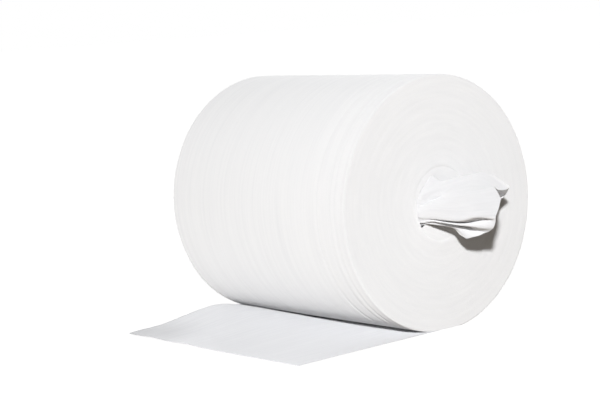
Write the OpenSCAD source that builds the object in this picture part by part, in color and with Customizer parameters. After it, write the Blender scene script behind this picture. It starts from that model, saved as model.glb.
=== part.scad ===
// Centre-pull roll of nonwoven wipes, lying on its side as it rests on a table.
// Millimetres. The roll's axis runs along Y, the end that the wipes are pulled
// from faces -Y, the loose outer end of the web lies toward -X, the table is z = 0.

/* [Roll] */
// Diameter of the full roll
roll_diameter = 187; // [120:1:300]
// Width of the web, which is the roll's length
web_width = 200; // [100:1:300]
// Diameter of the coreless hole through the roll
hole_diameter = 50; // [30:1:76]
// Width of the flat spot that the soft roll rests on
flat_spot_width = 34; // [10:1:60]
// Rounding of the roll's outer corners
corner_radius = 1.6; // [0.5:0.1:4]

/* [End faces] */
// Number of bands of turns that show on an end face
turn_bands = 7; // [2:1:14]
// Height of one band above the dips beside it
band_height = 0.2; // [0:0.05:1.5]
// How far the first turns stand out round the hole at the pulling end
rim_rise = 1; // [0:0.1:6]
// Width of the ring of turns that the pull has drawn out
rim_spread = 13; // [4:0.5:30]
// Depth over which the hole widens toward the pulling end
mouth_depth = 48; // [10:1:80]
// How much the hole's radius grows at the mouth
mouth_flare = 1.2; // [0:0.1:5]
// Depth of the dish of innermost turns that the pull has drawn in across the hole's mouth
dish_depth = 4.6; // [1:0.1:12]
// Thickness of the drawn-in turns
dish_thickness = 1.2; // [0.6:0.1:3]
// Chamfer of the hole at the rear end
rear_chamfer = 0.8; // [0:0.1:3]

/* [Side] */
// Depth of the grooves round the side, where turns sit a little out of line
groove_depth = 0.3; // [0:0.05:1.5]
// Width of one groove
groove_width = 3.2; // [1:0.1:8]

/* [Loose outer end] */
// Thickness of the web
web_thickness = 0.5; // [0.3:0.05:1.5]
// Distance of the web's free edge from the middle of the roll
tail_reach = 144; // [100:1:260]
// Height of the swell where the far side of the web lifts off the table
tail_swell = 8.8; // [0:0.1:20]
// Height of the small waves in the far half of the web
tail_ripple = 0.7; // [0:0.1:3]

/* [Pulled-out wipe] */
// Thickness of the gathered web, which is drawn a little fuller than flat
wipe_thickness = 0.7; // [0.4:0.05:1.5]
// Reach of the pulled-out wipe beyond the end face at its longest edge
wipe_reach = 61; // [30:1:100]
// Depth inside the hole at which the wipe peels off the wall
wipe_root_depth = 42; // [20:1:80]

/* [Hidden] */

roll_radius = roll_diameter / 2;
hole_radius = hole_diameter / 2;
half_width = web_width / 2;
axis_height = sqrt(pow(roll_radius, 2) - pow(flat_spot_width / 2, 2));
tail_start = 10;
smooth = 96;

// Curves shared by the sheets

function ease(t) = let (c = min(max(t, 0), 1)) c * c * (3 - 2 * c);

// Point on a smooth curve through a list of points, t running from 0 to 1
function along(points, t) =
    let (last = len(points) - 1,
         s = min(max(t, 0), 1) * last,
         i = min(floor(s), last - 1),
         f = s - i,
         b = points[i],
         c = points[i + 1],
         a = i > 0 ? points[i - 1] : 2 * b - c,
         d = i + 2 <= last ? points[i + 2] : 2 * c - b)
    0.5 * (2 * b + (c - a) * f + (2 * a - 5 * b + 4 * c - d) * f * f
        + (3 * b - a - 3 * c + d) * f * f * f);

// A closed sheet between two equal grids of points, the second one below the first
module sheet(upper, lower) {
    rows = len(upper);
    cols = len(upper[0]);
    total = rows * cols;
    points = [for (row = upper) for (p = row) p, for (row = lower) for (p = row) p];
    function top(i, j) = i * cols + j;
    function under(i, j) = total + i * cols + j;
    faces = [
        for (i = [0 : rows - 2]) for (j = [0 : cols - 2])
            each [[top(i, j), top(i + 1, j), top(i + 1, j + 1)],
                  [top(i, j), top(i + 1, j + 1), top(i, j + 1)],
                  [under(i, j), under(i + 1, j + 1), under(i + 1, j)],
                  [under(i, j), under(i, j + 1), under(i + 1, j + 1)]],
        for (i = [0 : rows - 2])
            each [[top(i, 0), under(i, 0), under(i + 1, 0)],
                  [top(i, 0), under(i + 1, 0), top(i + 1, 0)],
                  [top(i, cols - 1), under(i + 1, cols - 1), under(i, cols - 1)],
                  [top(i, cols - 1), top(i + 1, cols - 1), under(i + 1, cols - 1)]],
        for (j = [0 : cols - 2])
            each [[top(0, j), under(0, j + 1), under(0, j)],
                  [top(0, j), top(0, j + 1), under(0, j + 1)],
                  [top(rows - 1, j), under(rows - 1, j), under(rows - 1, j + 1)],
                  [top(rows - 1, j), under(rows - 1, j + 1), top(rows - 1, j + 1)]]
    ];
    polyhedron(points = points, faces = faces, convexity = 12);
}

// Wound body

// Height of an end face at a radius: bands of turns, highest in the middle of a band
band_start = hole_radius + rim_spread;
band_pitch = (roll_radius - corner_radius - band_start) / turn_bands;
function band_dip(k) = band_start + k * band_pitch;

// Rise of the drawn-out inner turns above the face, outward from their crest
crest = hole_radius + 4;
function rim(r) = rim_rise * pow(max(0, 1 - (r - crest) / (rim_spread - 2)), 2);

// Height of the drawn-in turns, from the middle of the hole out to the crest
function dish(r) = rim_rise - (rim_rise + dish_depth) * pow(1 - r / crest, 1.6);

// The turns lie out of line most near the pulling end
groove_places = [5, 10.5, 17, 29, 52, 88, 131, 168];
groove_shares = [0.7, 1, 0.8, 1, 0.6, 0.4, 0.5, 0.5];

module wound_body() {
    front = half_width;
    mouth = hole_radius + mouth_flare;
    profile = [
        [hole_radius, front - mouth_depth],
        [hole_radius + mouth_flare * 0.35, front - mouth_depth * 0.4],
        [mouth, front - 4],
        [mouth + 0.2, front + dish(mouth) - 0.8],
        [mouth + 1, front + dish(mouth + 1) - 0.1],
        for (r = [crest : 3 : band_start - 2]) [r, front + rim(r)],
        for (k = [0 : turn_bands - 1])
            each [[band_dip(k), front - band_height],
                  [band_dip(k) + band_pitch * 0.22, front - band_height * 0.1],
                  [band_dip(k) + band_pitch * 0.8, front]],
        for (a = [90 : -30 : 0])
            [roll_radius - corner_radius + corner_radius * cos(a),
             front - corner_radius + corner_radius * sin(a)],
        for (i = [0 : len(groove_places) - 1])
            each [[roll_radius, front - groove_places[i] + groove_width / 2],
                  [roll_radius - groove_depth * groove_shares[i], front - groove_places[i]],
                  [roll_radius, front - groove_places[i] - groove_width / 2]],
        for (a = [0 : -30 : -90])
            [roll_radius - corner_radius + corner_radius * cos(a),
             -front + corner_radius + corner_radius * sin(a)],
        for (k = [turn_bands - 1 : -1 : 0])
            each [[band_dip(k) + band_pitch * 0.7, -front],
                  [band_dip(k) + band_pitch * 0.2, -front],
                  [band_dip(k), -front + band_height]],
        [band_start - 2.5, -front],
        [hole_radius + rear_chamfer, -front],
        [hole_radius, -front + rear_chamfer]
    ];
    color("white")
        translate([0, 0, axis_height]) rotate([90, 0, 0])
            rotate_extrude($fn = smooth) polygon(profile);
}

// Outline of the gap that the wipe comes through, sideways and up from the axis, for a 50 mm hole
wipe_gap = [[-30, -6], [-24.8, -8], [-22.8, -11.5], [-21.5, -14.6], [-19.5, -15.2], [-17, -14.3],
    [-12, -12.9], [-2.6, -10.2], [-2.4, 11], [-5.6, 21.5], [-8.2, 22.9], [-10, 22.4],
    [-20.9, 12.2], [-24.2, 7.2], [-30, 6]] * hole_radius / 25;

// Innermost turns, drawn in toward the wipe as a shallow dish across the hole's mouth
module drawn_turns() {
    buried = hole_radius + mouth_flare + 1.3;
    places = [0, 0.16, 0.32, 0.48, 0.64, 0.8, 0.92];
    profile = [
        for (t = places) [t * hole_radius, dish(t * hole_radius)],
        [buried, dish(buried) - 0.7],
        [buried, dish(buried) - 0.7 - dish_thickness],
        for (i = [len(places) - 1 : -1 : 0])
            [places[i] * hole_radius, dish(places[i] * hole_radius) - dish_thickness]
    ];
    color("white")
        translate([0, -half_width, axis_height]) rotate([90, 0, 0])
            difference() {
                rotate_extrude($fn = smooth) polygon(profile);
                translate([0, 0, -dish_depth - 10])
                    linear_extrude(dish_depth + 20) polygon(wipe_gap);
            }
}

// Loose outer end of the web

// Height of the lifted far edge, from inside the roll to the free edge
tail_line = [0.26, 0.36, 0.47, 0.66, 0.9, 0.99, 0.92, 0.78, 0.6, 0.4, 0.24, 0.18, 0.16, 0.1];

function tail_height(s, y) =
    let (lift = ease((y + 45) / (half_width + 40)),
         wave = tail_ripple * ease((s - 0.35) / 0.4) * ease((y + 10) / 50) * (1 - cos(y * 8.2 - 40)) / 2)
    tail_swell * lift * along(tail_line, s) + wave;

module loose_tail() {
    steps = 26;
    lanes = 16;
    function spot(i, j, rise) =
        let (s = i / steps, y = -half_width + web_width * j / lanes)
        [-tail_start - (tail_reach - tail_start) * s, y, tail_height(s, y) + rise];
    function grid(rise) = [for (i = [0 : steps]) [for (j = [0 : lanes]) spot(i, j, rise)]];
    color("whitesmoke") sheet(grid(web_thickness), grid(-0.25));
}

// Pulled-out wipe

// How far each fold line reaches, as a share of the longest, from one side edge to the other
fold_reach = [28, 38, 46, 55, 59, 61, 61, 57, 48, 42, 38, 36, 26, 28,
    36, 41, 43, 44, 45, 47, 47, 46, 48, 48] / 61;

// Where the sections lie: shares of the root depth (below 0) and of the reach (above 0)
section_places = [-1, -0.44, 0, 0.2, 0.55, 0.8, 1];
folds = len(fold_reach) - 1;

// Sections of the gathered web, sideways and up from the roll's axis, for a 50 mm hole.
// Deep inside, one half of the web lies on the wall and the other half is folded back on it.
half_folds = (folds + 1) / 2;
function arc(r, from, to, crimp) =
    [for (i = [0 : half_folds - 1])
        let (a = from + (to - from) * i / (half_folds - 1), q = r + crimp * pow(-1, i))
        [q * cos(a), q * sin(a)]];

sections = [
    [each arc(29, 258, 100, 0), each arc(26.6, 102, 205, 0)],
    [each arc(23.3, 244, 112, 0.4), each arc(19.5, 112, 205, 0.9)],
    [[-14, -11.5], [-18, -13], [-18.3, -11.8], [-21, -11], [-20.6, -9], [-22.5, -7],
     [-23.5, -3.5], [-23.5, 0], [-23, 2.5], [-22.5, 6.5], [-19.5, 11], [-8, 21], [-4.5, 12],
     [-4, -8], [-6.5, -9], [-7, 9], [-9.5, 9.5], [-9.5, -8.5], [-12, -8.5], [-12.5, 8.5],
     [-15, 8], [-15, -6.5], [-17.5, -5], [-18, 4]],
    [[-15, -13.5], [-16.5, -12.5], [-15.2, -11], [-20, -9.7], [-17.8, -8.6], [-21.5, -6.8],
     [-23, -0.5], [-21, 3], [-14.8, 5.3], [-17, 7.3], [-13, 13.5], [-4, 17], [1.2, 9.8],
     [2.1, -7.2], [-1.5, -8.5], [-2, 8], [-4.5, 9], [-5, -7], [-7.5, -7.5], [-8, 7.5], [-10.5, 6],
     [-11, -5.5], [-13.5, -4.5], [-13.5, 1]],
    [[-5, -17.5], [-8, -15.8], [-1.5, -15], [-14, -12], [-6, -11], [-17, -8.5], [-16.5, -1.5],
     [-15.5, 4.5], [-13, 10], [-7.5, 13], [2, 18], [9, 20], [17.4, 12.4], [16.3, -5.6],
     [10.5, -7.5], [9.5, 9], [6.5, 10], [6, -8], [3, -10], [2.5, 8.5], [-0.5, 8], [-1, -8.5],
     [-4.5, -7], [-5, 6]],
    [[-4.5, -21], [-5, -20], [-2, -17], [-10.5, -12.8], [-5, -8.5], [-14.5, -5.2], [-12, -0.5],
     [-9, 6], [-6.5, 11.5], [3, 15.5], [14, 21], [24, 18], [32, 7.1], [27.1, -4.6], [18, -8],
     [16, 8], [12.5, 9], [12, -8], [8.5, -10], [8, 9], [4.5, 9], [4.5, -8.5], [1, -9], [0, 6]],
    [[-4, -23.5], [-5, -21], [-1, -18], [-4.5, -14.5], [-6.3, -9.5], [-7, -5], [-3.5, 1],
     [2.5, 6.5], [6.5, 13], [19, 9], [29.5, 8], [34.5, 9], [40.8, 2.4], [32.8, -0.7],
     [19.5, -5.5], [18, 4], [14, 6], [9.5, -8], [7, -9.5], [8.5, 7], [5, 7.5], [3.5, -8.5],
     [1, -9.5], [0.5, 3]]
];

// Point of the gathered web: u across the web, v from the root to the free edge
function web_point(u, v) =
    let (across = [for (i = [0 : len(sections) - 1])
             let (p = along(sections[i], u) * hole_radius / 25,
                  place = section_places[i],
                  out = place < 0 ? place * wipe_root_depth
                      : place * wipe_reach * along(fold_reach, u))
             [p[0], -half_width - out, axis_height + p[1]]])
    along(across, v);

module pulled_wipe() {
    cols = 3 * folds;
    rows = 24;
    middle = [for (i = [0 : rows]) [for (j = [0 : cols]) web_point(j / cols, i / rows)]];
    function normal(i, j) =
        let (a = middle[min(i + 1, rows)][j] - middle[max(i - 1, 0)][j],
             b = middle[i][min(j + 1, cols)] - middle[i][max(j - 1, 0)],
             n = cross(a, b))
        n / norm(n);
    function side(shift) = [for (i = [0 : rows]) [for (j = [0 : cols])
        middle[i][j] + normal(i, j) * shift]];
    color("white") sheet(side(wipe_thickness / 2), side(-wipe_thickness / 2));
}

// The roll

module wipe_roll() {
    difference() {
        union() {
            wound_body();
            drawn_turns();
            loose_tail();
            pulled_wipe();
        }
        translate([-2 * tail_reach, -web_width, -20])
            cube([4 * tail_reach, 2 * web_width, 20]);
    }
}

wipe_roll();
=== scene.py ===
import math

import bpy
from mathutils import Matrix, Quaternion, Vector, noise


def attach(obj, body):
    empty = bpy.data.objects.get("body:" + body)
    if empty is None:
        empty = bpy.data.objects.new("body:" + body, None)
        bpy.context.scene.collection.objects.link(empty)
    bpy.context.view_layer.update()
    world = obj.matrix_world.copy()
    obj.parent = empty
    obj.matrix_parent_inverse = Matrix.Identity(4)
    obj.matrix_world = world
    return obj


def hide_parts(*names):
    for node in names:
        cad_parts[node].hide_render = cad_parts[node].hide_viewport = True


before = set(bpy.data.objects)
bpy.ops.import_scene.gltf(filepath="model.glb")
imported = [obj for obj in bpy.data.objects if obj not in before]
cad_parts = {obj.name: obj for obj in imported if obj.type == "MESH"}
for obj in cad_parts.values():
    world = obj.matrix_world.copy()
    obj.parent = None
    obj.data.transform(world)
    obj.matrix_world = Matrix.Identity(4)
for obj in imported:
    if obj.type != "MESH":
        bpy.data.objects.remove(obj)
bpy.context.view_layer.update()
print("frame loaded")

# Sizes that every piece shares, in metres, the same as the solid's
roll = {
    "radius": 0.0935,
    "halfWidth": 0.1,
    "holeRadius": 0.025,
    "flatWidth": 0.034,
}
roll["axisHeight"] = math.sqrt(roll["radius"] ** 2 - (roll["flatWidth"] / 2) ** 2)


def ease(t):
    t = min(max(t, 0.0), 1.0)
    return t * t * (3 - 2 * t)


def alongCurve(points, t):
    # point on a smooth curve through evenly spaced points, t from 0 to 1
    last = len(points) - 1
    place = min(max(t, 0.0), 1.0) * last
    i = min(int(place), last - 1)
    f = place - i
    b, c = points[i], points[i + 1]
    a = points[i - 1] if i > 0 else b * 2 - c
    d = points[i + 2] if i + 2 <= last else c * 2 - b
    return (b * 2 + (c - a) * f + (a * 2 - b * 5 + c * 4 - d) * f ** 2
            + (b * 3 - a - c * 3 + d) * f ** 3) * 0.5


def deselectAll():
    if bpy.context.object and bpy.context.object.mode != "OBJECT":
        bpy.ops.object.mode_set(mode="OBJECT")
    bpy.ops.object.select_all(action="DESELECT")


def makeOnly(piece):
    deselectAll()
    bpy.context.view_layer.objects.active = piece
    piece.select_set(True)


# Camera, at the photograph's viewing point
cameraSet = {
    "place": (-0.87988, -1.00020, 0.25435),
    "aim": (0.63452, 0.76342, -0.12073),
    "roll": math.radians(-4.153),
    "lens": 105.07,
}


def placeCamera(s):
    data = bpy.data.cameras.new("photoCamera")
    data.lens = s["lens"]
    data.sensor_width = 36
    data.clip_start, data.clip_end = 0.05, 60
    cam = bpy.data.objects.new("photoCamera", data)
    bpy.context.collection.objects.link(cam)
    cam.rotation_mode = "QUATERNION"
    cam.location = s["place"]
    level = Vector(s["aim"]).to_track_quat("-Z", "Y")
    cam.rotation_quaternion = level @ Quaternion((0, 0, 1), s["roll"])
    bpy.context.scene.camera = cam


placeCamera(cameraSet)
print("camera placed")


# Cloth finish

clothSet = {
    "white": (0.916, 0.917, 0.924, 1),
    "shade": (0.87, 0.872, 0.883, 1),
    "toneSpan": (0.30, 0.52),   # where the mixed pattern goes from shade to white
    "roughness": 0.92,
    "fuzz": 1.0,                # how evenly the fibres throw the light back
    "specular": 0.18,
    "sheen": 0.12,
    "sheenRoughness": 0.6,
    "fibreSize": 1500,          # fibres per metre of cloth
    "fibreShare": 0.30,         # part of the fibres in the tone
    "fibreDepth": 0.00006,
    "fibreRelief": 0.55,
    "streakShare": 0.62,        # part of the streaks in the tone
    "lapDepth": 0.00012,        # depth of the slow unevenness of the web
    "lapRelief": 0.6,
    "cloudSize": 170.0,
    "cloudDepth": 0.0004,
    "cloudRelief": 0.35,
    "turnDepth": 0.00012,       # depth of the edges of single turns on an end face
    "turnRelief": 0.35,
}


def addNode(tree, kind, place, **values):
    node = tree.nodes.new(kind)
    node.location = place
    for key, value in values.items():
        if hasattr(node, key):
            setattr(node, key, value)
        else:
            node.inputs[key.replace("_", " ")].default_value = value
    return node


def addMath(tree, place, operation, *values, kind="ShaderNodeMath", result=0):
    # one step of arithmetic, with numbers or the outputs of other nodes
    node = addNode(tree, kind, place, operation=operation)
    for socket, value in zip(node.inputs, values):
        if isinstance(value, bpy.types.NodeSocket):
            tree.links.new(value, socket)
        else:
            socket.default_value = value
    return node.outputs[result]


def addVectorMath(tree, place, operation, *values, result=0):
    return addMath(tree, place, operation, *values, kind="ShaderNodeVectorMath", result=result)


def addSmoothStep(tree, place, value, start, end, low=0.0, high=1.0):
    node = addNode(tree, "ShaderNodeMapRange", place)
    node.interpolation_type = "SMOOTHSTEP"
    for key, number in zip(("From Min", "From Max", "To Min", "To Max"), (start, end, low, high)):
        node.inputs[key].default_value = number
    tree.links.new(value, node.inputs["Value"])
    return node.outputs["Result"]


def addBump(tree, place, strength, depth, height, under=None):
    node = addNode(tree, "ShaderNodeBump", place, Strength=strength, Distance=depth)
    tree.links.new(height, node.inputs["Height"])
    if under:
        tree.links.new(under, node.inputs["Normal"])
    return node.outputs[0]


def addTurnEdges(tree, coords, streak):
    # distance and angle round the axis on an end face, and lines that run with the turns there
    link = tree.links.new
    mid = addNode(tree, "ShaderNodeMapping", (-1900, -520))
    mid.inputs["Location"].default_value = (0, 0, -roll["axisHeight"])
    link(coords.outputs["Object"], mid.inputs[0])
    flat = addVectorMath(tree, (-1700, -520), "MULTIPLY", mid.outputs[0], (1, 0, 1))
    reach = addVectorMath(tree, (-1500, -520), "LENGTH", flat, result="Value")
    around = addVectorMath(tree, (-1500, -680), "NORMALIZE", flat)
    outward = addNode(tree, "ShaderNodeCombineXYZ", (-1100, -520))
    link(addMath(tree, (-1300, -520), "MULTIPLY", reach, streak[1]), outward.inputs[1])
    lines = addVectorMath(tree, (-900, -600), "MULTIPLY_ADD", around, (streak[0], 0, streak[2]),
                          outward.outputs[0])
    split = addNode(tree, "ShaderNodeSeparateXYZ", (-1500, -840))
    link(flat, split.inputs[0])
    turn = addMath(tree, (-1300, -840), "ARCTAN2", split.outputs[2], split.outputs[0])
    return reach, turn, lines


def addTurnRelief(tree, reach, turn, rings, under):
    # edges of the turns on an end face: a slow spiral round the axis
    counted = addMath(tree, (-540, -680), "DIVIDE", turn, 2 * math.pi)
    turns = addMath(tree, (-380, -560), "MULTIPLY_ADD", reach, 1 / rings, counted)
    wave = addMath(tree, (-220, -560), "MULTIPLY", turns, 2 * math.pi)
    edge = addMath(tree, (-60, -560), "SINE", wave)
    return addBump(tree, (660, -560), clothSet["turnRelief"], clothSet["turnDepth"], edge, under)


def addEdgeLight(tree, here, cloth, s):
    # the free edge's single layer lets a little light through
    link = tree.links.new
    split = addNode(tree, "ShaderNodeSeparateXYZ", (-600, 900))
    link(here, split.inputs[0])
    passed = addSmoothStep(tree, (-400, 900), split.outputs[1], *s["along"], 0, s["share"])
    offSide = addMath(tree, (-400, 1160), "SUBTRACT", split.outputs[0], s["across"])
    apart = addMath(tree, (-200, 1160), "ABSOLUTE", offSide)
    kept = addSmoothStep(tree, (0, 1160), apart, *s["halfWidth"], 1, 0)
    glowing = addNode(tree, "ShaderNodeBsdfTranslucent", (620, 160))
    link(addMath(tree, (200, 900), "MULTIPLY", passed, kept), glowing.inputs[0])
    both = addNode(tree, "ShaderNodeAddShader", (780, 80))
    link(cloth, both.inputs[0])
    link(glowing.outputs[0], both.inputs[1])
    return both.outputs[0]


def addPaintedShadeTone(tree, coords, tone, s):
    # painted shade: the tone is darkened toward the roll and toward its back end, and most at the far back
    # corner, where the single layer lifts off the white table
    link = tree.links.new
    split = addNode(tree, "ShaderNodeSeparateXYZ", (-600, 620))
    link(coords.outputs["Object"], split.inputs[0])
    # painted shade at the far back corner, where the layer lifts
    left = addSmoothStep(tree, (-400, 620), split.outputs[0], *s["fromLeft"])
    back = addSmoothStep(tree, (-400, 360), split.outputs[1], *s["fromBack"])
    lifted = addMath(tree, (-200, 520), "MULTIPLY", left, back)
    # painted shade that grows toward the roll and toward the back end
    shadeSlope = addVectorMath(tree, (-600, 760), "DOT_PRODUCT", coords.outputs["Object"], s["shadeSlope"],
                          result="Value")
    level = addMath(tree, (-400, 760), "ADD", shadeSlope, s["level"])
    grey = addMath(tree, (-60, 520), "MULTIPLY_ADD", lifted, -s["liftShade"], level)
    toned = addNode(tree, "ShaderNodeVectorMath", (300, 260), operation="SCALE")
    link(tone, toned.inputs[0])
    link(grey, toned.inputs["Scale"])
    return toned.outputs[0]


def makeCloth(name, streak, fromMap=False, rings=0.0, contrast=1.0, lean=0.0, layer=(1, 1, 1),
              clouded=1.0, through=None, lifted=None):
    # streak is how a metre along each axis counts in the pattern of fine lines that the machine leaves,
    # contrast how strongly they show, lean how far the tone goes toward white, layer the tint of one layer
    s = clothSet
    mat = bpy.data.materials.new(name)
    mat.use_nodes = True
    tree = mat.node_tree
    tree.nodes.clear()
    link = tree.links.new
    out = addNode(tree, "ShaderNodeOutputMaterial", (900, 0))
    cloth = addNode(tree, "ShaderNodeBsdfPrincipled", (620, 0), Roughness=s["roughness"])
    cloth.inputs["Diffuse Roughness"].default_value = s["fuzz"]
    cloth.inputs["Specular IOR Level"].default_value = s["specular"]
    cloth.inputs["Sheen Weight"].default_value = s["sheen"]
    cloth.inputs["Sheen Roughness"].default_value = s["sheenRoughness"]
    coords = addNode(tree, "ShaderNodeTexCoord", (-2100, 0))
    here = coords.outputs["UV" if fromMap else "Object"]
    link(addEdgeLight(tree, here, cloth.outputs[0], through) if through else cloth.outputs[0],
         out.inputs[0])

    # long fine streaks, laid by the water jets along the web
    streaks = addNode(tree, "ShaderNodeTexNoise", (-860, 260), Scale=1.0, Detail=4.0, Roughness=0.62)
    if rings:
        reach, turn, lines = addTurnEdges(tree, coords, streak)
        link(lines, streaks.inputs["Vector"])
    else:
        lines = addNode(tree, "ShaderNodeMapping", (-1080, 260))
        lines.inputs["Scale"].default_value = streak
        link(here, lines.inputs[0])
        link(lines.outputs[0], streaks.inputs["Vector"])

    # tangled fibres and slow cloudiness
    fibres = addNode(tree, "ShaderNodeTexNoise", (-860, 0), Scale=s["fibreSize"], Detail=3.0,
                     Roughness=0.6, Distortion=1.6)
    link(here, fibres.inputs["Vector"])
    clouds = addNode(tree, "ShaderNodeTexNoise", (-860, -240), Scale=s["cloudSize"], Detail=3.0,
                     Roughness=0.5)
    link(here, clouds.inputs["Vector"])

    mixFibres = addMath(tree, (-600, -20), "MULTIPLY_ADD", fibres.outputs[0], s["fibreShare"], lean)
    mixLines = addMath(tree, (-600, 200), "MULTIPLY_ADD", streaks.outputs[0],
                       s["streakShare"] * contrast, mixFibres)
    tone = addNode(tree, "ShaderNodeValToRGB", (-340, 200))
    for stop, place, key in zip(tone.color_ramp.elements, s["toneSpan"], ("shade", "white")):
        stop.position = place
        stop.color = [a * b for a, b in zip(s[key], layer + (1,))]
    link(mixLines, tone.inputs[0])
    # painted shade on the tone of the flat tail, where it is asked for
    link(addPaintedShadeTone(tree, coords, tone.outputs[0], lifted) if lifted else tone.outputs[0],
         cloth.inputs["Base Color"])

    fine = addBump(tree, (100, -200), s["fibreRelief"], s["fibreDepth"], fibres.outputs[0])
    slow = addBump(tree, (340, -260), s["lapRelief"], s["lapDepth"], streaks.outputs[0], fine)
    soft = addBump(tree, (480, -420), s["cloudRelief"] * clouded, s["cloudDepth"], clouds.outputs[0], slow)
    link(addTurnRelief(tree, reach, turn, rings, soft) if rings else soft, cloth.inputs["Normal"])
    return mat


# one layer on the table is a little greyer than the stack of turns; painted shade darkens it further
# toward the roll and where it lifts
tailToneAndShade = {
    "layer": (0.94, 0.945, 0.96),
    "lifted": {"fromLeft": (-0.085, -0.140), "fromBack": (0.030, 0.090), "liftShade": 0.2,
               "shadeSlope": (-0.71, -0.29, 0), "level": 0.872},
}
# places across and along the web, in metres
wipeTone = {
    "layer": (0.975, 0.975, 0.98),
    "through": {"share": 0.24, "along": (0.075, 0.09), "across": 0.108, "halfWidth": (0.012, 0.024)},
}

sideCloth = makeCloth("clothAroundRoll", (9, 420, 9))
endCloth = makeCloth("clothTurnEdges", (2.2, 420, 2.2), rings=0.0005, contrast=0.6, lean=0.09,
                     clouded=0.25)
tailCloth = makeCloth("clothFlat", (14, 420, 14), contrast=1.3, lean=-0.14, **tailToneAndShade)
wipeCloth = makeCloth("clothGathered", (420, 22, 1), fromMap=True, contrast=0.8, **wipeTone)
print("cloth finishes made")


# Wound body

woundSet = {
    "name": "wound_turns",
    "segments": 288,
    "corner": 0.0016,
    "cornerSteps": (6, 4),      # at the pulling end and at the rear end
    "rimRise": 0.001,
    "rimSpread": 0.013,
    "rimFall": (0.004, 0.002),  # how far out the fall starts, how much shorter than the spread it is
    "bands": 7,
    "bandHeight": 0.00014,
    "bandWidth": 0.11,          # share of the distance between bands
    "mouthDepth": 0.048,
    "mouthFlare": 0.0012,
    "mouthCurve": 1.6,
    "mouthEnd": 0.004,          # how far behind the end face the widening stops
    "mouthSteps": 12,
    "rearChamfer": 0.0008,
    "holeSteps": 10,
    "grooves": [(0.005, 0.7), (0.0105, 1.0), (0.017, 0.8), (0.029, 1.0),
                (0.052, 0.6), (0.088, 0.4), (0.131, 0.5), (0.168, 0.5)],
    "grooveDepth": 0.0003,
    "grooveWidth": 0.0032,
    "grooveSpread": 0.42,       # share of the width
    "unevenTurns": 0.00008,     # how far single groups of turns stand out of line
    "unevenCount": 900,         # how closely those groups follow each other
    "wobble": (0.00003, 0.00014),   # on all of the side, and more near the pulling end
    "wobbleReach": 0.03,
    "wobbleCount": 520,
    "endStep": 0.0009,
    "sideSteps": (0.0008, 0.0019),  # as far as fineReach, and beyond
    "fineReach": 0.04,
    "rearStep": 0.0016,
    "clear": (0.0004, 0.0006, 0.001),   # beside the corners of the end, the side and the rear
    "endSlope": 0.55,           # faces that look along the axis this much have the end's finish
    "smoothUnder": math.radians(60),
}


# Innermost turns, drawn in toward the wipe as a shallow dish across the mouth of the hole

dishSet = {
    "name": "drawn_in_turns",
    "crest": 0.029,
    "rise": 0.001,
    "depth": 0.0046,
    "curve": 1.6,
    "thickness": 0.0012,
    "outer": 0.0271,
    "around": 360,
    "rows": 26,
    "sag": 0.0005,              # how far the outer edge lies behind the roll's end
    "sagWidth": 0.004,
    "pucker": 0.0005,
    "puckerStart": 0.3,
    "puckerWidth": 0.012,       # a narrower part of the dish has shallower folds
    "puckerCount": (3.4, 0.6),
    "turnLength": 0.157,
    "drawnWidth": 0.012,
    "middle": (-12.5, 2.5),
    # outline of the gap that the wipe comes through, in millimetres sideways and up from the axis
    "gap": [(-24.4, -6), (-23.6, -8), (-22.3, -11.5), (-21.4, -14.5), (-19.5, -15), (-17.4, -13.7),
            (-12, -12.2), (-3.2, -9.6), (-3, 10), (-6.2, 19.8), (-7.8, 21.4), (-9, 20.8),
            (-20.1, 11.5), (-23.2, 6.9), (-24.4, 3)],
}


def dishHeight(r):
    s = dishSet
    return s["rise"] - (s["rise"] + s["depth"]) * max(0.0, 1 - r / s["crest"]) ** s["curve"]


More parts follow.
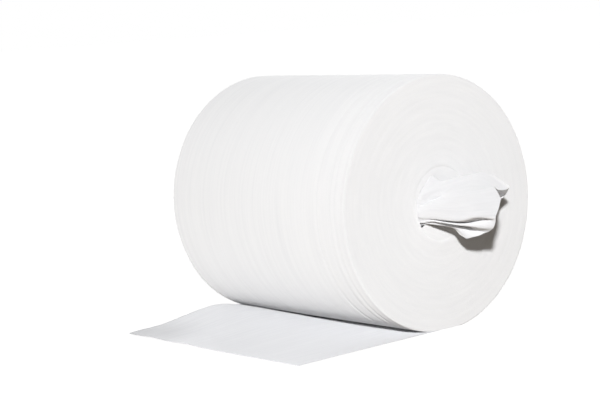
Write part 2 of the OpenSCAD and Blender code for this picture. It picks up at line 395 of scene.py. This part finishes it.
def woundProfile(s):
    # radius and place along the axis, from the hole's mouth over the pulling end and side and back
    outer, half, hole, corner = roll["radius"], roll["halfWidth"], roll["holeRadius"], s["corner"]
    start = hole + s["rimSpread"]
    pitch = (outer - corner - start) / s["bands"]
    uneven = s["unevenTurns"]
    endClear, sideClear, rearClear = s["clear"]

    def bandRise(r):
        if r < start:
            return 0.0
        part = ((r - start) / pitch) % 1.0
        return -s["bandHeight"] * math.exp(-(min(part, 1 - part) / s["bandWidth"]) ** 2)

    def rimRise(r):
        fallFrom, shorter = s["rimFall"]
        return s["rimRise"] * max(0.0, 1 - (r - hole - fallFrom) / (s["rimSpread"] - shorter)) ** 2

    def jitter(a, b):
        return noise.noise(Vector((a, b, 0.7)))

    # wall of the mouth, and its edge close behind the drawn-in turns
    mouth = hole + s["mouthFlare"]
    line = []
    for k in range(s["mouthSteps"]):
        t = k / s["mouthSteps"]
        line.append((hole + s["mouthFlare"] * t ** s["mouthCurve"],
                     -half + s["mouthDepth"] * (1 - t) + s["mouthEnd"] * t))
    line += [(mouth, -half + 0.0022), (mouth + 0.0001, -half + 0.0006),
             (mouth + 0.0003, -half - dishHeight(mouth) + 0.0007),
             (mouth + 0.0008, -half - dishHeight(mouth) + 0.0002),
             (mouth + 0.0016, -half - dishHeight(mouth + 0.0016) + 0.00005)]

    # pulling end
    r = dishSet["crest"]
    while r < outer - corner - endClear:
        line.append((r, -half - rimRise(r) - bandRise(r) + uneven * jitter(r * s["unevenCount"], 3.1)))
        r += s["endStep"]
    for k in range(s["cornerSteps"][0] + 1):
        a = math.pi / 2 * (1 - k / s["cornerSteps"][0])
        line.append((outer - corner + corner * math.cos(a), -half + corner - corner * math.sin(a)))

    # side, with grooves where turns sit out of line
    fineStep, plainStep = s["sideSteps"]
    d = corner + sideClear
    while d < 2 * half - corner - rearClear:
        dip = sum(share * s["grooveDepth"]
                  * math.exp(-((d - place) / (s["grooveWidth"] * s["grooveSpread"])) ** 2)
                  for place, share in s["grooves"])
        near = math.exp(-d / s["wobbleReach"])
        wobble = (s["wobble"][0] + s["wobble"][1] * near) * jitter(d * s["wobbleCount"], 11.0)
        line.append((outer - dip + wobble, -half + d))
        d += fineStep if d < s["fineReach"] else plainStep

    # rear end and the hole
    for k in range(s["cornerSteps"][1] + 1):
        a = math.pi / 2 * k / s["cornerSteps"][1]
        line.append((outer - corner + corner * math.cos(a), half - corner + corner * math.sin(a)))
    r = outer - corner - rearClear
    while r > hole + s["rearChamfer"] + rearClear:
        line.append((r, half + bandRise(r) + min(0.0, uneven * jitter(r * s["unevenCount"], 7.3))))
        r -= s["rearStep"]
    line += [(hole + s["rearChamfer"], half), (hole + 0.0002, half - 0.0003),
             (hole, half - s["rearChamfer"])]
    for k in range(1, s["holeSteps"]):
        line.append((hole, half - s["rearChamfer"]
                     - (2 * half - s["mouthDepth"] - s["rearChamfer"]) * k / s["holeSteps"]))
    return line


def makeWound(s):
    line = woundProfile(s)
    deselectAll()
    r, y = line[0]
    bpy.ops.mesh.primitive_circle_add(vertices=s["segments"], radius=r,
                                      location=(0, y, roll["axisHeight"]), rotation=(math.pi / 2, 0, 0))
    body = bpy.context.object
    body.name = s["name"]
    bpy.ops.object.transform_apply(location=True, rotation=True, scale=True)
    bpy.ops.object.mode_set(mode="EDIT")
    bpy.ops.mesh.select_all(action="SELECT")
    for nextR, nextY in line[1:] + line[:1]:
        bpy.ops.mesh.extrude_region_move(TRANSFORM_OT_translate={"value": (0, nextY - y, 0)})
        if abs(nextR - r) > 1e-9:
            bpy.ops.transform.resize(value=(nextR / r, 1, nextR / r),
                                     center_override=(0, nextY, roll["axisHeight"]))
        r, y = nextR, nextY
    bpy.ops.mesh.select_all(action="SELECT")
    bpy.ops.mesh.remove_doubles(threshold=1e-6)
    bpy.ops.mesh.normals_make_consistent(inside=False)
    bpy.ops.mesh.select_all(action="DESELECT")
    bpy.ops.object.mode_set(mode="OBJECT")

    # the soft roll lies on a flat spot
    for v in body.data.vertices:
        v.select = v.co.z < 0
    bpy.ops.object.mode_set(mode="EDIT")
    bpy.ops.transform.resize(value=(1, 1, 0), center_override=(0, 0, 0))
    bpy.ops.object.mode_set(mode="OBJECT")

    body.data.materials.append(sideCloth)
    body.data.materials.append(endCloth)
    for face in body.data.polygons:
        face.material_index = 1 if abs(face.normal.y) > s["endSlope"] else 0
    bpy.ops.object.shade_smooth_by_angle(angle=s["smoothUnder"])
    return body


wound = makeWound(woundSet)
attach(wound, "root")
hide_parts("wipe_roll")
print("wound body made:", len(wound.data.polygons), "faces")


def gapPoint(s, angle):
    # where a ray from the middle of the gap meets its outline
    ox, oz = s["middle"]
    dx, dz = math.cos(angle), math.sin(angle)
    outline = s["gap"]
    for k in range(len(outline)):
        ax, az = outline[k]
        bx, bz = outline[(k + 1) % len(outline)]
        ex, ez = bx - ax, bz - az
        turn = dx * ez - dz * ex
        if abs(turn) < 1e-9:
            continue
        reach = ((ax - ox) * ez - (az - oz) * ex) / turn
        part = ((ax - ox) * dz - (az - oz) * dx) / turn
        if reach > 0 and 0 <= part <= 1:
            return (ox + dx * reach) / 1000, (oz + dz * reach) / 1000
    return ox / 1000, oz / 1000


def rimPoint(s, angle):
    ox, oz = s["middle"][0] / 1000, s["middle"][1] / 1000
    dx, dz = math.cos(angle), math.sin(angle)
    b = ox * dx + oz * dz
    reach = -b + math.sqrt(b * b - ox * ox - oz * oz + s["outer"] ** 2)
    return ox + dx * reach, oz + dz * reach


def buildSheet(name, points, cols, mapped, material):
    rows = len(points) // cols
    faces = [(i * cols + j, (i + 1) * cols + j, (i + 1) * cols + j + 1, i * cols + j + 1)
             for i in range(rows - 1) for j in range(cols - 1)]
    mesh = bpy.data.meshes.new(name)
    mesh.from_pydata(points, [], faces)
    layer = mesh.uv_layers.new(name="web")
    for loop in mesh.loops:
        layer.data[loop.index].uv = mapped[loop.vertex_index]
    piece = bpy.data.objects.new(name, mesh)
    bpy.context.collection.objects.link(piece)
    mesh.materials.append(material)
    makeOnly(piece)
    bpy.ops.object.shade_smooth()
    return piece


def thicken(piece, thickness):
    wall = piece.modifiers.new("thickness", "SOLIDIFY")
    wall.thickness, wall.offset = thickness, 0
    bpy.ops.object.modifier_apply(modifier=wall.name)


def makeDish(s):
    points, mapped = [], []
    cols = s["around"]
    countAround, countOut = s["puckerCount"]
    for i in range(s["rows"] + 1):
        t = i / s["rows"]
        for j in range(cols + 1):
            angle = 2 * math.pi * (j % cols) / cols
            ax, az = gapPoint(s, angle)
            bx, bz = rimPoint(s, angle)
            x, z = ax + (bx - ax) * t, az + (bz - az) * t
            r = math.hypot(x, z)
            width = min(1.0, math.hypot(bx - ax, bz - az) / s["puckerWidth"])
            folds = noise.noise(Vector((math.cos(angle) * countAround, math.sin(angle) * countAround,
                                        t * countOut)))
            sag = s["sag"] * ease((r - s["outer"] + s["sagWidth"]) / s["sagWidth"])
            y = -roll["halfWidth"] - dishHeight(r) + s["thickness"] / 2 + sag
            y += s["pucker"] * folds * width * (1 - t) * (s["puckerStart"] + t)
            points.append((x, y, roll["axisHeight"] + z))
            mapped.append((j / cols * s["turnLength"], t * s["drawnWidth"]))
    dish = buildSheet(s["name"], points, cols + 1, mapped, endCloth)
    bpy.ops.object.mode_set(mode="EDIT")
    bpy.ops.mesh.select_all(action="SELECT")
    bpy.ops.mesh.remove_doubles(threshold=1e-7)
    bpy.ops.mesh.normals_make_consistent(inside=False)
    bpy.ops.object.mode_set(mode="OBJECT")
    thicken(dish, s["thickness"])
    return dish


# Loose outer end, lying on the table

tailSet = {
    "name": "loose_end",
    "start": 0.010,
    "reach": 0.144,
    "thickness": 0.0005,
    "swell": 0.0088,
    "line": [0.26, 0.36, 0.47, 0.66, 0.9, 0.99, 0.92, 0.78, 0.6, 0.4, 0.24, 0.18, 0.16, 0.1],
    "liftFrom": -0.045,         # place along the roll's axis where the web starts to lift
    "liftBeyond": 0.040,
    "ripple": 0.0007,
    "rippleFrom": (0.35, -0.010),   # share of the reach, and place along the roll's axis
    "rippleGrows": (0.4, 0.050),
    "rippleTurn": 8200,         # degrees of wave for each metre along the roll's axis
    "rippleStart": 40,
    "steps": 150,
    "lanes": 180,
    "unevenness": 0.00035,
    "unevenCount": (16, 45),
    "unevenFrom": 0.08,
    "unevenGrows": 0.2,
}


def tailHeight(s, t, y):
    lift = ease((y - s["liftFrom"]) / (roll["halfWidth"] + s["liftBeyond"]))
    outFrom, axisFrom = s["rippleFrom"]
    outGrows, axisGrows = s["rippleGrows"]
    wave = (s["ripple"] * ease((t - outFrom) / outGrows) * ease((y - axisFrom) / axisGrows)
            * (1 - math.cos(math.radians(y * s["rippleTurn"] - s["rippleStart"]))) / 2)
    return s["swell"] * lift * alongCurve(s["line"], t) + wave


def makeTail(s):
    points, mapped = [], []
    half = roll["halfWidth"]
    countOut, countAlong = s["unevenCount"]
    for i in range(s["steps"] + 1):
        t = i / s["steps"]
        x = -s["start"] - (s["reach"] - s["start"]) * t
        for j in range(s["lanes"] + 1):
            y = -half + 2 * half * j / s["lanes"]
            bumps = max(0.0, noise.noise(Vector((x * countOut, y * countAlong, 0.3))))
            uneven = s["unevenness"] * bumps * ease((t - s["unevenFrom"]) / s["unevenGrows"])
            points.append((x, y, tailHeight(s, t, y) + uneven + s["thickness"] / 2))
            mapped.append((y, x))
    tail = buildSheet(s["name"], points, s["lanes"] + 1, mapped, tailCloth)
    thicken(tail, s["thickness"])
    return tail


dish = makeDish(dishSet)
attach(dish, "root")
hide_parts("wipe_roll")
print("drawn-in turns made")

tail = makeTail(tailSet)
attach(tail, "root")
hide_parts("wipe_roll")
print("loose outer end made")


# Wipe pulled out of the middle

wipeSet = {
    "name": "pulled_wipe",
    "thickness": 0.00045,
    "reach": 0.061,
    "rootDepth": 0.042,
    # a section curve's place: -1 at the root in the hole, 0 at the end face, 1 at the free edge
    "places": [-1, -0.44, 0, 0.2, 0.55, 0.8, 1],
    "foldReach": [28, 38, 46, 55, 59, 61, 61, 57, 48, 42, 38, 36, 26, 28,
                  36, 41, 43, 44, 45, 47, 47, 46, 48, 48],
    "across": 276,
    "along": 120,
    "wrinkle": 0.0006,
    # how often creases come across and along the web, their place in the noise and their share
    "creases": [(26, 3.2, 4.2, 1.0), (60, 6, 9.1, 0.5)],
}


def onWall(r, start, end, crimp, count=12):
    points = []
    for i in range(count):
        a = math.radians(start + (end - start) * i / (count - 1))
        q = r + crimp * (-1) ** i
        points.append((q * math.cos(a), q * math.sin(a)))
    return points


# sideways and up from the roll's axis, in millimetres, from the lower side edge to the upper one
wipeSections = [
    onWall(29, 258, 100, 0) + onWall(26.6, 102, 205, 0),
    onWall(23.3, 244, 112, 0.4) + onWall(19.5, 112, 205, 0.9),
    [(-14, -11.5), (-18, -13), (-18.3, -11.8), (-21, -11), (-20.6, -9), (-22.5, -7),
     (-23.5, -3.5), (-23.5, 0), (-23, 2.5), (-22.5, 6.5), (-19.5, 11), (-8, 21), (-4.5, 12),
     (-4, -8), (-6.5, -9), (-7, 9), (-9.5, 9.5), (-9.5, -8.5), (-12, -8.5), (-12.5, 8.5),
     (-15, 8), (-15, -6.5), (-17.5, -5), (-18, 4)],
    [(-15, -12.8), (-16.5, -12.1), (-15.2, -11), (-20, -9.7), (-17.8, -8.6), (-21.5, -6.8),
     (-23, -0.5), (-21, 3), (-14.8, 5.3), (-17, 7.3), (-13, 13.5), (-4, 17), (1.2, 9.8),
     (2.1, -7.2), (-1.5, -8.5), (-2, 8), (-4.5, 9), (-5, -7), (-7.5, -7.5), (-8, 7.5), (-10.5, 6),
     (-11, -5.5), (-13.5, -4.5), (-13.5, 1)],
    [(-5, -16.2), (-8, -15), (-1.5, -15), (-14, -12), (-6, -11), (-17, -8.5), (-16.5, -1.5),
     (-15.5, 4.5), (-13, 10), (-7.5, 13), (2, 18), (9, 20), (17.4, 12.4), (16.3, -5.6),
     (10.5, -7.5), (9.5, 9), (6.5, 10), (6, -8), (3, -10), (2.5, 8.5), (-0.5, 8), (-1, -8.5),
     (-4.5, -7), (-5, 6)],
    [(-4.5, -21), (-5, -20), (-2, -17), (-10.5, -12.8), (-5, -8.5), (-14.5, -5.2), (-12, -0.5),
     (-9, 6), (-6.5, 11.5), (3, 15.5), (14, 21), (24, 18), (32, 7.1), (27.1, -4.6), (18, -8),
     (16, 8), (12.5, 9), (12, -8), (8.5, -10), (8, 9), (4.5, 9), (4.5, -8.5), (1, -9), (0, 6)],
    [(-4, -23.5), (-5, -21), (-1, -18), (-4.5, -14.5), (-6.3, -9.5), (-7, -5), (-3.5, 1),
     (2.5, 6.5), (6.5, 13), (19, 9), (29.5, 8), (34.5, 9), (40.8, 2.4), (32.8, -0.7),
     (19.5, -5.5), (18, 4), (14, 6), (9.5, -8), (7, -9.5), (8.5, 7), (5, 7.5), (3.5, -8.5),
     (1, -9.5), (0.5, 3)],
]


def wipePoints(s):
    top = max(s["foldReach"])
    sections = [[Vector((x, z)) for x, z in section] for section in wipeSections]
    columns = []
    for j in range(s["across"] + 1):
        u = j / s["across"]
        edge = alongCurve(s["foldReach"], u) / top
        column = []
        for place, section in zip(s["places"], sections):
            p = alongCurve(section, u) / 1000
            out = place * s["rootDepth"] if place < 0 else place * s["reach"] * edge
            column.append(Vector((p.x, -roll["halfWidth"] - out, roll["axisHeight"] + p.y)))
        columns.append(column)
    return [[alongCurve(column, i / s["along"]) for column in columns] for i in range(s["along"] + 1)]


def makeWipe(s):
    grid = wipePoints(s)
    rows, cols = len(grid), len(grid[0])
    webWidth, webLength = 2 * roll["halfWidth"], s["reach"] + s["rootDepth"]
    points, mapped = [], []
    for i, row in enumerate(grid):
        for j, p in enumerate(row):
            alongV = grid[min(i + 1, rows - 1)][j] - grid[max(i - 1, 0)][j]
            acrossV = row[min(j + 1, cols - 1)] - row[max(j - 1, 0)]
            normal = alongV.cross(acrossV).normalized()
            u, v = j / s["across"], i / s["along"]
            crease = sum(share * noise.noise(Vector((u * countAcross, v * countAlong, place)))
                         for countAcross, countAlong, place, share in s["creases"])
            points.append(p + normal * s["wrinkle"] * crease)
            mapped.append((u * webWidth, v * webLength))
    wipe = buildSheet(s["name"], points, cols, mapped, wipeCloth)
    thicken(wipe, s["thickness"])
    return wipe


wipe = makeWipe(wipeSet)
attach(wipe, "root")
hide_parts("wipe_roll")
print("pulled-out wipe made")


# Floor, background and light

studioSet = {
    "floorSize": 9.0,
    "floorTone": (0.53, 0.48, 0.42, 1),   # for light thrown back at the roll
    "seenWhite": 0.30,        # how much of the lamps' light the camera sees on the table
    "glow": (0.92, 1.03),     # table's own white near the roll and far from it
    "glowReach": (0.28, 0.75),
    "worldFill": 0.006,
    "fillTone": (1, 0.88, 0.74, 1),
    "lamps": [
        # name, place, size, power, shape, beam
        ("keyLamp", (-1.72, -1.89, 0.95), 0.13, 57.5, "DISK", math.pi),
        ("rightBox", (1.7, 0.75, 0.7), 0.4, 0.6, "SQUARE", 0.6),
        ("backBox", (0.9, 1.7, 0.9), 0.4, 0.5, "SQUARE", 0.6),
    ],
    # narrow strip light beside the table, for the underside of the roll
    "strip": {"place": (-1.0, 0.0, 0.03), "aim": (-0.05, 0.0, 0.006), "length": 0.5, "height": 0.02,
              "beam": 0.19, "power": 0.0205},
    "aimAt": (-0.02, -0.03, 0.08),
}


def showInstead(tree, out, place, lit, seen):
    # the camera sees its own white, also in shiny things and through clear ones
    link = tree.links.new
    path = addNode(tree, "ShaderNodeLightPath", (-400, 300))
    first = addMath(tree, (-200, 300), "MAXIMUM", path.outputs["Is Camera Ray"],
                    path.outputs["Is Glossy Ray"])
    direct = addMath(tree, (0, 300), "MAXIMUM", first, path.outputs["Is Transmission Ray"])
    mix = addNode(tree, "ShaderNodeMixShader", place)
    link(direct, mix.inputs[0])
    link(lit.outputs[0], mix.inputs[1])
    link(seen.outputs[0], mix.inputs[2])
    link(mix.outputs[0], out.inputs[0])


def makeFloor(s):
    deselectAll()
    bpy.ops.mesh.primitive_circle_add(vertices=96, radius=s["floorSize"], fill_type="NGON",
                                      location=(0, 0, 0))
    floor = bpy.context.object
    floor.name = "floor"
    mat = bpy.data.materials.new("whiteTable")
    mat.use_nodes = True
    tree = mat.node_tree
    tree.nodes.clear()
    link = tree.links.new
    out = addNode(tree, "ShaderNodeOutputMaterial", (600, 0))
    matt = addNode(tree, "ShaderNodeBsdfDiffuse", (0, 0), Color=s["floorTone"])
    pale = addNode(tree, "ShaderNodeBsdfDiffuse", (0, -160), Color=(s["seenWhite"],) * 3 + (1,))
    coords = addNode(tree, "ShaderNodeTexCoord", (-800, -300))
    away = addVectorMath(tree, (-600, -300), "LENGTH", coords.outputs["Object"], result="Value")
    glow = addNode(tree, "ShaderNodeEmission", (-160, -300))
    link(addSmoothStep(tree, (-400, -300), away, *s["glowReach"], *s["glow"]), glow.inputs["Strength"])
    seen = addNode(tree, "ShaderNodeAddShader", (200, -200))
    link(pale.outputs[0], seen.inputs[0])
    link(glow.outputs[0], seen.inputs[1])
    showInstead(tree, out, (400, 0), matt, seen)
    floor.data.materials.append(mat)


def makeWorld(s):
    world = bpy.data.worlds.new("studio")
    bpy.context.scene.world = world
    world.use_nodes = True
    tree = world.node_tree
    tree.nodes.clear()
    out = addNode(tree, "ShaderNodeOutputWorld", (400, 0))
    fill = addNode(tree, "ShaderNodeBackground", (0, 0), Color=s["fillTone"], Strength=s["worldFill"])
    plain = addNode(tree, "ShaderNodeBackground", (0, -160), Color=(1, 1, 1, 1), Strength=1.0)
    showInstead(tree, out, (200, 0), fill, plain)


def addLamp(name, place, size, power, aim, shape, height=None, beam=math.pi):
    data = bpy.data.lights.new(name, "AREA")
    data.shape, data.size, data.energy = shape, size, power
    data.size_y, data.spread = height or size, beam
    lamp = bpy.data.objects.new(name, data)
    bpy.context.collection.objects.link(lamp)
    lamp.location = place
    lamp.rotation_mode = "QUATERNION"
    lamp.rotation_quaternion = (Vector(aim) - Vector(place)).to_track_quat("-Z", "Y")


makeFloor(studioSet)
makeWorld(studioSet)
for name, place, size, power, shape, beam in studioSet["lamps"]:
    addLamp(name, place, size, power, studioSet["aimAt"], shape, beam=beam)
strip = studioSet["strip"]
addLamp("stripLamp", strip["place"], strip["length"], strip["power"], strip["aim"], "RECTANGLE",
        strip["height"], strip["beam"])
bpy.context.scene.view_settings.view_transform = "Standard"
print("studio made")

deselectAll()
